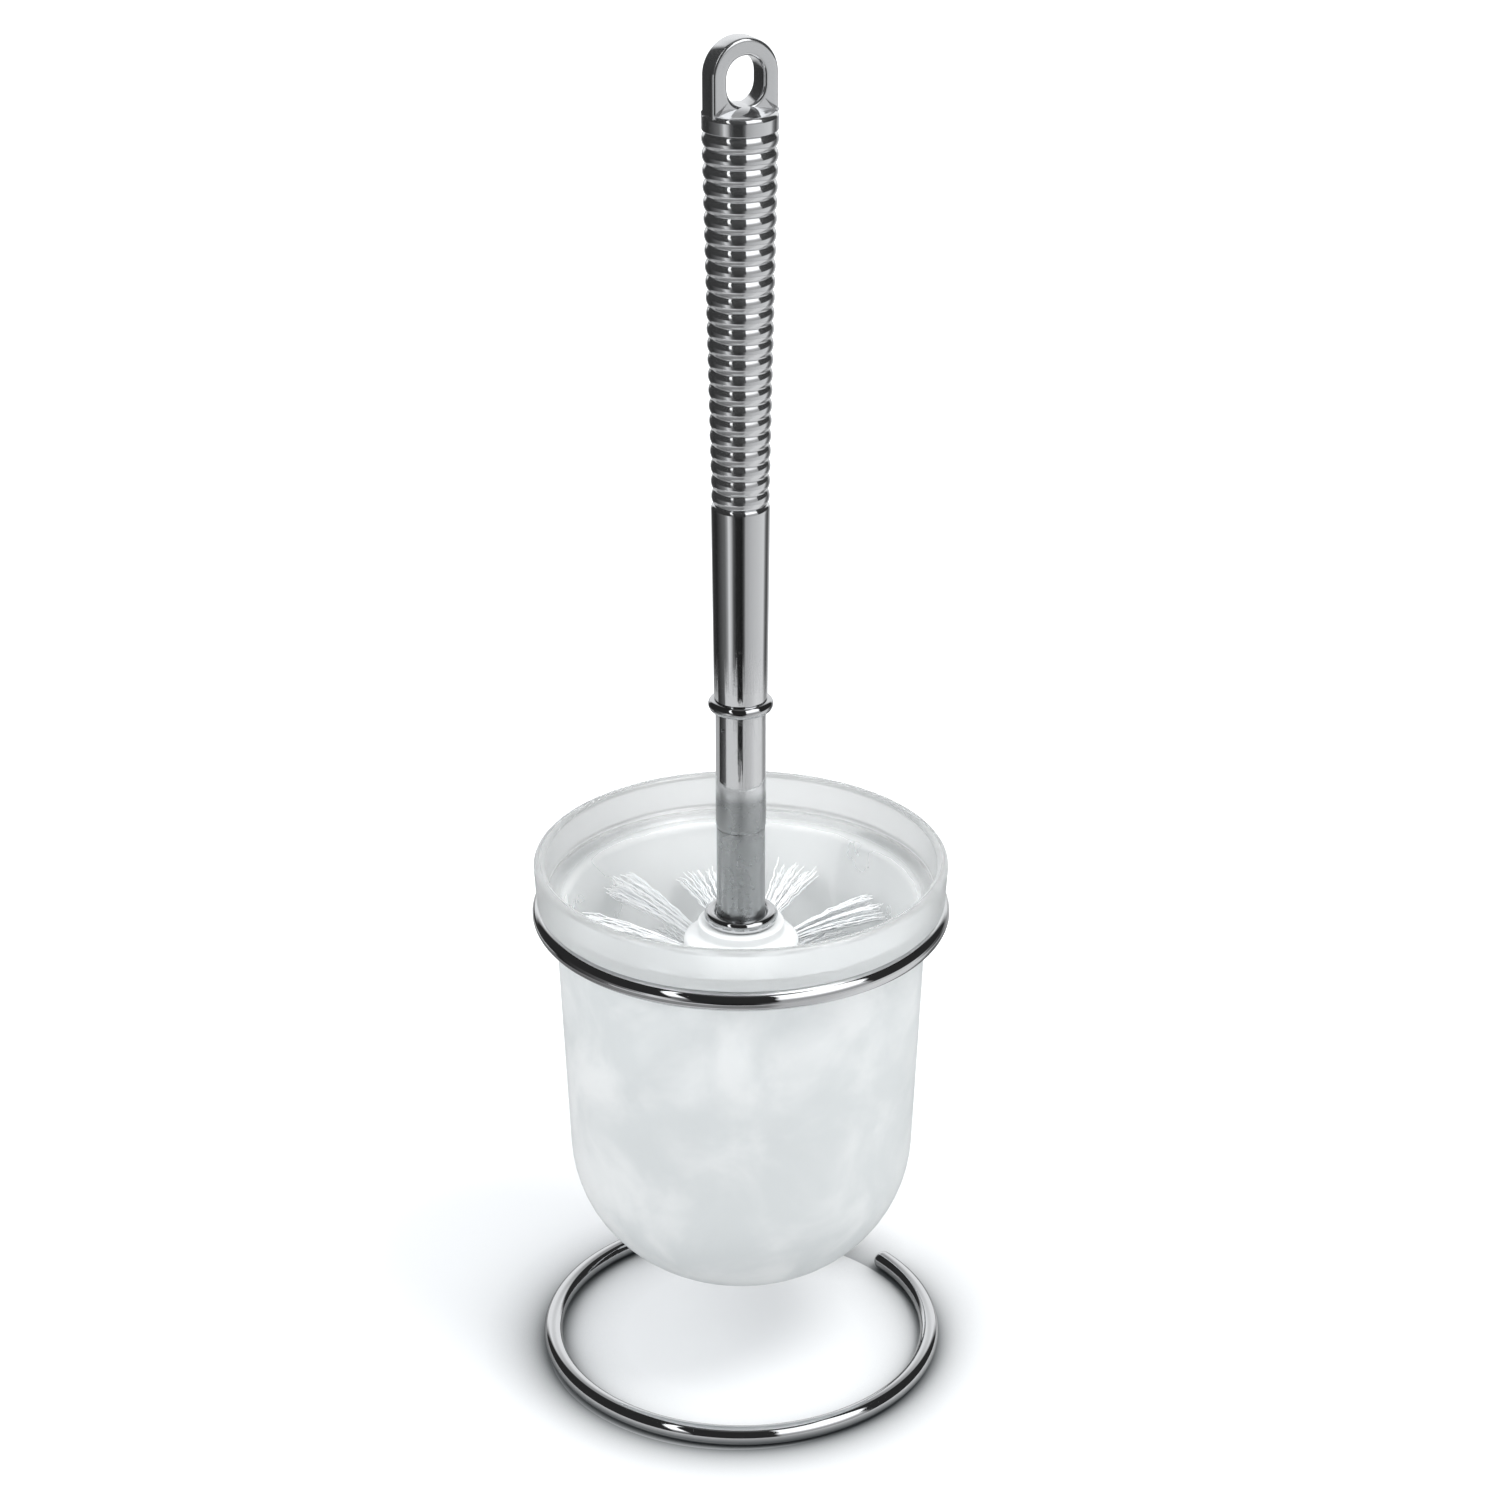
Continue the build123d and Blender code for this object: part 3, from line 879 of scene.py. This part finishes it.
def ribPattern(inputs, material):
    # each rib is an arc of a circle over its pitch, and the grooves between are softened
    tree, given = newPattern("gripRibs", inputs)
    ribs, pitch, soft = (given.other(label) for label in ("Ribs", "Pitch", "Softness"))
    length = ribs * pitch
    tube = tree.add("GeometryNodeMeshCylinder", {"fill_type": "NONE"}, {
        "Vertices": given.other("Around"), "Side Segments": ribs * given.other("Steps"),
        "Radius": 1.0, "Depth": length}, "Mesh")
    x = tree.add("ShaderNodeSeparateXYZ", values={0: tree.add("GeometryNodeInputPosition")})
    y, z = x.other("Y"), x.other("Z")
    share = 0.5 - z / length

    def tapered(edge):
        top = given.other("Top " + edge)
        return top + (given.other("Bottom " + edge) - top) * share

    groove = tapered("Groove")
    rise = tapered("Crest") - groove
    bow = (pitch * pitch * 0.25 + rise * rise) / (rise * 2.0)
    offCentre = ((share * ribs + 0.00001).maths("FRACT") - 0.5) * pitch
    arc = (bow * bow - offCentre * offCentre) ** 0.5 - bow + rise
    radius = groove + (arc * arc + soft * soft) ** 0.5 - soft * 0.6
    moved = tree.add("ShaderNodeCombineXYZ", values={
        0: x * radius, 1: y * radius, 2: z - length * 0.5 + given.other("Top")})
    shaped = tree.add("GeometryNodeSetPosition", values={"Geometry": tube, "Position": moved})
    return endPattern(tree, shaped, material)


def eyeEdge(angle, halfWidth, arcHigh, arcLow, middle):
    # where a ray from the hole's middle meets a round-ended outline, and the outline's normal there
    direction = Vector((math.sin(angle), math.cos(angle)))
    start = Vector((0, middle))
    if abs(direction.x) > 1e-9:
        hit = start + direction * (halfWidth / abs(direction.x))
        if arcLow <= hit.y <= arcHigh:
            return hit, Vector((math.copysign(1, direction.x), 0))
    end = Vector((0, arcHigh if direction.y > 0 else arcLow))
    gap = start - end
    along = gap.dot(direction)
    reach = -along + math.sqrt(along * along - gap.length_squared + halfWidth * halfWidth)
    hit = start + direction * reach
    return hit, (hit - end).normalized()


def outerEdge(angle, eye):
    # the arch over straight sides, closed by a flat foot inside the band
    if math.cos(angle) > -0.999:
        halfWidth = eye["width"] / 2
        hit, normal = eyeEdge(angle, halfWidth, eye["top"] - halfWidth, -1e6, eye["holeMiddle"])
        if hit.y >= eye["foot"]:
            return hit, normal
    drop = eye["holeMiddle"] - eye["foot"]
    return Vector((-math.tan(angle) * drop, eye["foot"])), Vector((0, -1))


def addEye(bm, eye):
    half, rounding, middle = eye["thickness"] / 2, eye["edgeRounding"], eye["holeMiddle"]
    holeHalf = eye["holeWidth"] / 2
    straight = eye["holeHeight"] / 2 - holeHalf
    corner = [math.radians(a) for a in range(0, 91, 15)]
    sideways = Vector(polar(1, eye["turn"], 0))
    facing = Vector((sideways.y, -sideways.x, 0))

    def rounded(edge, inward, turns):
        return [(edge + inward * rounding * (1 - math.cos(a)), half - rounding + rounding * math.sin(a))
                for a in turns]

    # corners of the foot get a spoke of their own, so that it closes square
    footCorner = math.atan2(eye["width"] / 2, eye["foot"] - middle)
    angles = [2 * math.pi * i / eye["around"] for i in range(eye["around"])]
    spokes = []
    for angle in sorted(angles + [footCorner, 2 * math.pi - footCorner]):
        outer, outerNormal = outerEdge(angle, eye)
        hole, holeNormal = eyeEdge(angle, holeHalf, middle + straight, middle - straight, middle)
        inner = outer - outerNormal * rounding
        edge = hole + holeNormal * rounding
        section = rounded(outer, -outerNormal, corner)
        section += [(inner.lerp(edge, share), half) for share in (0.33, 0.67)]
        section += rounded(hole, holeNormal, corner[::-1])
        section += [(point, -depth) for point, depth in section[::-1]]
        spots = [sideways * point.x + facing * depth + Vector((0, 0, point.y))
                 for point, depth in section]
        spokes.append([bm.verts.new(spot * mm) for spot in spots])
    for one, two in zip(spokes, spokes[1:] + spokes[:1]):
        for i in range(len(one)):
            j = (i + 1) % len(one)
            bm.faces.new((one[i], one[j], two[j], two[i]))


def makeGrip(grip):
    inputs = {
        "Ribs": grip["ribCount"], "Steps": grip["stepsPerRib"], "Around": grip["around"],
        "Top": grip["ribTop"] * mm, "Pitch": grip["ribPitch"] * mm,
        "Softness": grip["grooveSoftness"] * mm,
        "Top Crest": grip["crest"][0] * mm, "Bottom Crest": grip["crest"][1] * mm,
        "Top Groove": grip["groove"][0] * mm, "Bottom Groove": grip["groove"][1] * mm}
    bm = bmesh.new()
    bm.from_mesh(grown("gripRibs", ribPattern(inputs, gripChrome), inputs))
    lip = grip["grooveSoftness"] * 0.4
    domeRadius = grip["bandRadius"] - grip["bandRounding"]
    dome = [(domeRadius * i / 12, grip["bandTop"] + grip["domeHeight"] * (1 - (i / 12) ** 2))
            for i in range(12)]
    band = dome + roundedOutline([
        (domeRadius, grip["bandTop"], 0),
        (grip["bandRadius"], grip["bandTop"], grip["bandRounding"]),
        (grip["bandRadius"], grip["ribTop"] + 0.5, 0.35),
        (grip["groove"][0] + lip, grip["ribTop"], 0),
    ])
    spun(bm, divided(band, 3.0), grip["around"])
    drop = grip["sleeveTopDrop"]
    sleeveTop = grip["ribTop"] - grip["ribCount"] * grip["ribPitch"] - drop
    neck = grip["groove"][1] + lip
    turns = [math.radians(a) for a in range(0, 90, 9)]
    shoulder = [(neck + (grip["sleeve"][0] - neck) * math.sin(a), sleeveTop + drop * math.cos(a))
                for a in turns]
    sleeve = shoulder + roundedOutline([
        (grip["sleeve"][0], sleeveTop, 0),
        (grip["sleeve"][1], grip["end"], 0.3),
        (grip["spigotRadius"], grip["end"], 0.2),
        (grip["spigotRadius"], grip["spigotEnd"], 0.4),
        (grip["coreRadius"], grip["spigotEnd"], 0),
        (grip["coreRadius"], grip["coreTop"], 0),
        (0, grip["coreTop"] + 1.0, 0),
    ])
    spun(bm, divided(sleeve, 4.0), grip["around"])
    bmesh.ops.remove_doubles(bm, verts=bm.verts, dist=2e-6)
    addEye(bm, eye)
    return finishMesh(bm, "handleGrip", gripChrome, 50)


handleGrip = makeGrip(grip)
place(handleGrip, "handle", "grip_chrome", "handle_grip")
print("grip:", len(handleGrip.data.polygons), "faces")


# trim rings, tube and lower sleeve

trimRings = {
    "beadRing": {"middle": 202.0, "outer": 8.85, "bore": 6.92, "height": 3.4},
    "collarRing": {"middle": 138.05, "outer": 10.25, "bore": 6.75, "height": 3.5, "land": 1.2,
                   "recess": (7.75, 137.45)},
}


def ringOutline(ring):
    # the bead is half round with a straight bore; the collar is round but for its bore and recess
    rounding, bore = ring["height"] / 2, ring["bore"]
    low, high = ring["middle"] - rounding, ring["middle"] + rounding
    centre = ring["outer"] - rounding
    first, last = -90.0, 90.0
    inner = [(bore + 0.15, high), (bore, high - 0.15), (bore, low + 0.15), (bore + 0.15, low)]
    if "recess" in ring:
        recessRadius, recessTop = ring["recess"]
        land = ring["land"] / 2
        first = -90.0 - math.degrees(math.asin((centre - recessRadius) / rounding))
        last = 180.0 - math.degrees(math.asin(land / rounding))
        inner = [(bore, ring["middle"] + land), (bore, recessTop), (recessRadius, recessTop)]
    angles = [math.radians(first + (last - first) * i / 32) for i in range(33)]
    return [(centre + rounding * math.cos(a), ring["middle"] + rounding * math.sin(a))
            for a in angles] + inner


# the trim rings wear the darker chrome copy, a painted shade
for label, body, cadNode in (("beadRing", "handle", "bead_ring"),
                             ("collarRing", "collar", "collar_ring")):
    piece = turnedRing(label, ringOutline(trimRings[label]), shadedTrimChrome)
    place(piece, body, "trim_chrome", cadNode)

lowerSleeve = {
    "radius": 6.7,
    "foot": 136.5,
    "footRadius": 7.7,
    "footThickness": 0.9,
    "top": 165.45,
    "plugRadius": 6.03,
    "plugTop": 176.0,
    "coreRadius": 4.3,
    "seatRadius": 5.52,
    "seatTop": 153.0,
}


def lowerSleeveOutline(sleeve):
    foot = sleeve["foot"] + sleeve["footThickness"]
    return divided(roundedOutline([
        (sleeve["seatRadius"], sleeve["foot"], 0),
        (sleeve["footRadius"], sleeve["foot"], 0.2),
        (sleeve["footRadius"], foot, 0.3),
        (sleeve["radius"], foot, 0),
        (sleeve["radius"], sleeve["top"], 0.2),
        (sleeve["plugRadius"], sleeve["top"], 0),
        (sleeve["plugRadius"], sleeve["plugTop"], 0.3),
        (sleeve["coreRadius"], sleeve["plugTop"], 0.3),
        (sleeve["coreRadius"], sleeve["seatTop"], 0),
        (sleeve["seatRadius"], sleeve["seatTop"], 0),
    ]), 3.0)


piece = turnedRing("lowerSleeve", lowerSleeveOutline(lowerSleeve), tubeChrome)
place(piece, "handle", "tube_chrome", "lower_sleeve")
print("trim rings and lower sleeve done")


# screw stud: core and a helical ridge

stud = {
    "core": 3.3,
    "crest": 4.0,
    "shank": 3.98,
    "root": 118.0,
    "top": 150.0,
    "chamfer": 0.8,
    "pitch": 1.25,
    "threadFoot": 136.6,
}


def threadPattern(inputs, material):
    # the ridge fades in and out over half a turn at its ends
    tree, given = newPattern("screwThread", inputs)
    turns, core = given.other("Turns"), given.other("Core Radius")
    helix = tree.add("GeometryNodeCurveSpiral", values={
        "Resolution": 48, "Rotations": turns, "Start Radius": core, "End Radius": core,
        "Height": turns * given.other("Pitch")})
    upright = tree.add("GeometryNodeSetCurveNormal", {"mode": "Z_UP"}, {"Curve": helix})
    along = tree.add("GeometryNodeSplineParameter", output="Factor")
    fade = (along.maths("MINIMUM", 1.0 - along) * (turns * 2.0) + 0.12).maths("MINIMUM", 1.0)
    ridge = tubeAlong(tree, upright, 4, (given.other("Crest Radius") - core) * fade)
    lift = tree.add("ShaderNodeCombineXYZ", values={2: given.other("Foot")})
    raised = tree.add("GeometryNodeTransform", values={"Geometry": ridge, "Translation": lift})
    return endPattern(tree, raised, material)


def makeStud(stud):
    inputs = {
        "Core Radius": stud["core"] * mm, "Crest Radius": stud["crest"] * mm,
        "Pitch": stud["pitch"] * mm, "Foot": stud["threadFoot"] * mm,
        "Turns": (stud["top"] - stud["chamfer"] - stud["threadFoot"]) / stud["pitch"]}
    bm = bmesh.new()
    bm.from_mesh(grown("studThread", threadPattern(inputs, zincSteel), inputs))
    spun(bm, divided(roundedOutline([
        (0, stud["root"], 0),
        (stud["shank"], stud["root"], 0.3),
        (stud["shank"], stud["threadFoot"] - 0.5, 0),
        (stud["core"], stud["threadFoot"], 0),
        (stud["core"], stud["top"], stud["chamfer"]),
        (0, stud["top"], 0),
    ]), 3.0), 48)
    return finishMesh(bm, "headStud", zincSteel, 30)


headStud = makeStud(stud)
place(headStud, "head", "plated_steel", "head_stud")
print("stud:", len(headStud.data.polygons), "faces")


# bristles: every tuft is a bunch of wavy filaments that fans out from its hole

bristles = {
    "filaments": 60,
    "steps": 12,
    "thickness": 0.42,
    "rootSpread": 1.8,
    "tipSpread": 6.8,
    "waveHeight": 0.24,
    "waveLength": 6.5,
    "flatness": 0.5,            # how much flatter than wide a fan is at its tip
    "sag": 2.6,
    "stray": 2.4,
    "rootDepth": 4.8,
    "seed": 7,
    "seedStep": 20,
    # the end tufts spread less, and neither flatten nor sag
    "ends": {"tipSpread": 6.8 * 0.75, "flatness": 1.0, "sag": 0.0},
}
rows = {
    "count": 6,
    "top": 126.0,
    "pitch": 11.8,
    "tufts": 10,
    "firstAzimuth": 33.5,
    "holeRadius": 16.0,
    "tipRadius": (46.0, 45.7, 45.2, 44.8, 44.3, 43.0),
    "tilt": (8.0, 0.0, 0.0, 0.0, 0.0, 0.0),
    "bentUp": {1: 4.0, 3: 11.0, 4: 12.0},       # tufts of the top row that stand higher, in degrees
    # end tufts, a ring each: how many, radius and height of the hole, tilt, free length
    "ends": ((8, 14.2, 57.2, -40.0, 21.0), (4, 6.0, 55.0, -78.0, 20.2)),
}


def tuftPattern(inputs, material):
    tree, given = newPattern("tuftFilaments", inputs)
    steps, depth, length = (given.other(label) for label in ("Steps", "Root Depth", "Wave Length"))

    def randomShare(step):
        return tree.add("FunctionNodeRandomValue", {"data_type": "FLOAT"}, {
            2: 0.0, 3: 1.0, "Seed": given.other("Seed") + step}, 1)

    def stored(shape, label, value, kind="FLOAT"):
        settings = {"data_type": kind, "domain": "POINT"}
        return tree.add("GeometryNodeStoreNamedAttribute", settings, {
            "Geometry": shape, "Name": label, "Value": value})

    def read(label, kind="FLOAT"):
        return tree.add("GeometryNodeInputNamedAttribute", {"data_type": kind}, {"Name": label})

    bunch = tree.add("GeometryNodeDuplicateElements", {"domain": "POINT"}, {
        "Geometry": given, "Amount": given.other("Filaments")})
    bunch = stored(bunch, "seat", tree.add("GeometryNodeInputPosition"), "FLOAT_VECTOR")
    draws = ("angle", "spread", "lengthShare", "phase", "tone", "strayShare", "strayAngle")
    for step, label in enumerate(draws):
        bunch = stored(bunch, label, randomShare(step))
    line = tree.add("GeometryNodeMeshLine", values={"Count": steps + 1.0, "Offset": (0, 0, 0.001)})
    line = stored(line, "along", tree.add("GeometryNodeInputIndex") / steps)
    threads = tree.add("GeometryNodeInstanceOnPoints", values={"Points": bunch, "Instance": line})
    threads = tree.add("GeometryNodeRealizeInstances", values={"Geometry": threads})

    full = 2 * math.pi
    reach = read("reach") * (0.93 + read("lengthShare") * 0.08)
    out = read("along") * (reach + depth) - depth
    free = out.maths("MAXIMUM", 0.0) / reach
    angle = read("angle") * full
    rootSpread = given.other("Root Spread")
    fan = (rootSpread + (given.other("Tip Spread") - rootSpread) * free ** 1.25) * read("spread") ** 0.5
    strayAngle = read("strayAngle") * full
    stray = given.other("Stray") * read("strayShare") ** 9.0 * free * free
    wave = given.other("Wave Height") * (free * 2.5).maths("MINIMUM", 1.0)
    beat = out / length * full + read("phase") * full
    beatTwo = out / length * (full * 0.83) + strayAngle
    flat = 1.0 - (1.0 - given.other("Flatness")) * free
    sideways = (fan * angle.maths("COSINE") + wave * beat.maths("SINE")
                + stray * strayAngle.maths("COSINE"))
    upward = (fan * flat * angle.maths("SINE") + wave * beatTwo.maths("SINE")
              + stray * strayAngle.maths("SINE") - given.other("Sag") * free * free)
    spot = read("seat", "FLOAT_VECTOR")
    for label, distance in (("axis", out), ("side", sideways), ("lift", upward)):
        shift = tree.vector("SCALE", read(label, "FLOAT_VECTOR"), scale=distance)
        spot = tree.vector("ADD", spot, shift)
    threads = tree.add("GeometryNodeSetPosition", values={"Geometry": threads, "Position": spot})
    curves = tree.add("GeometryNodeMeshToCurve", values={"Mesh": threads})
    taper = given.other("Thickness") * (0.5 - read("along") ** 6.0 * 0.14)
    return endPattern(tree, tubeAlong(tree, curves, 4, taper), material)


def tuftInputs(bristles, number):
    return {
        "Filaments": bristles["filaments"], "Steps": bristles["steps"],
        "Thickness": bristles["thickness"] * mm, "Root Spread": bristles["rootSpread"] * mm,
        "Tip Spread": bristles["tipSpread"] * mm, "Wave Height": bristles["waveHeight"] * mm,
        "Wave Length": bristles["waveLength"] * mm, "Flatness": bristles["flatness"],
        "Sag": bristles["sag"] * mm, "Stray": bristles["stray"] * mm,
        "Root Depth": bristles["rootDepth"] * mm,
        "Seed": bristles["seed"] + bristles["seedStep"] * number}


def tuftSeats(rows):
    step = 360 / rows["tufts"]
    groups = []
    for row in range(rows["count"]):
        tilt = rows["tilt"][row]
        reach = (rows["tipRadius"][row] - rows["holeRadius"]) / math.cos(math.radians(tilt))
        first = rows["firstAzimuth"] + step / 2 * (row % 2)
        height = rows["top"] - row * rows["pitch"]
        bentUp = rows["bentUp"] if row == 0 else {}
        groups.append([(first + step * i, rows["holeRadius"], height, tilt + bentUp.get(i, 0), reach)
                       for i in range(rows["tufts"])])
    ends = []
    for count, *seat in rows["ends"]:
        ends += [(rows["firstAzimuth"] + 360 / count * i, *seat) for i in range(count)]
    return groups + [ends]


def seatMesh(name, seats):
    # one point per tuft hole, with the tuft's own directions and free length
    mesh = bpy.data.meshes.new(name)
    points, axes, sides, lifts, reaches = [], [], [], [], []
    for azimuth, radius, height, tilt, reach in seats:
        tilt = math.radians(tilt)
        axis = Vector(polar(math.cos(tilt), azimuth, math.sin(tilt)))
        side = Vector(polar(1, azimuth + 90, 0))
        points.append(Vector(polar(radius, azimuth, height)) * mm)
        axes.extend(axis)
        sides.extend(side)
        lifts.extend(axis.cross(side))
        reaches.append(reach * mm)
    mesh.from_pydata(points, [], [])
    for label, values in (("axis", axes), ("side", sides), ("lift", lifts)):
        mesh.attributes.new(label, "FLOAT_VECTOR", "POINT").data.foreach_set("vector", values)
    mesh.attributes.new("reach", "FLOAT", "POINT").data.foreach_set("value", reaches)
    return mesh


pattern = tuftPattern(tuftInputs(bristles, 0), bristleNylon)
groups = tuftSeats(rows)
for number, seats in enumerate(groups, start=1):
    label, cadNode, look = f"bristleRow{number}", f"bristle_row_{number}", bristles
    if number == len(groups):
        label, cadNode, look = "bristleEnds", "bristle_end_tufts", {**bristles, **bristles["ends"]}
    mesh = grown(label, pattern, tuftInputs(look, number), seatMesh(label + "Seats", seats))
    place(linked(label, mesh), "head", "bristle", cadNode)
print("bristles:", sum(len(seats) for seats in groups), "tufts")


# CAD pieces that keep their own shape

for cadNode, material in (("handle_tube", tubeChrome), ("brush_hub", hubPlastic),
                          ("tuft_anchors", anchorSteel), ("thread_insert", turnedBrass)):
    nodes[cadNode].data.materials.clear()
    nodes[cadNode].data.materials.append(material)
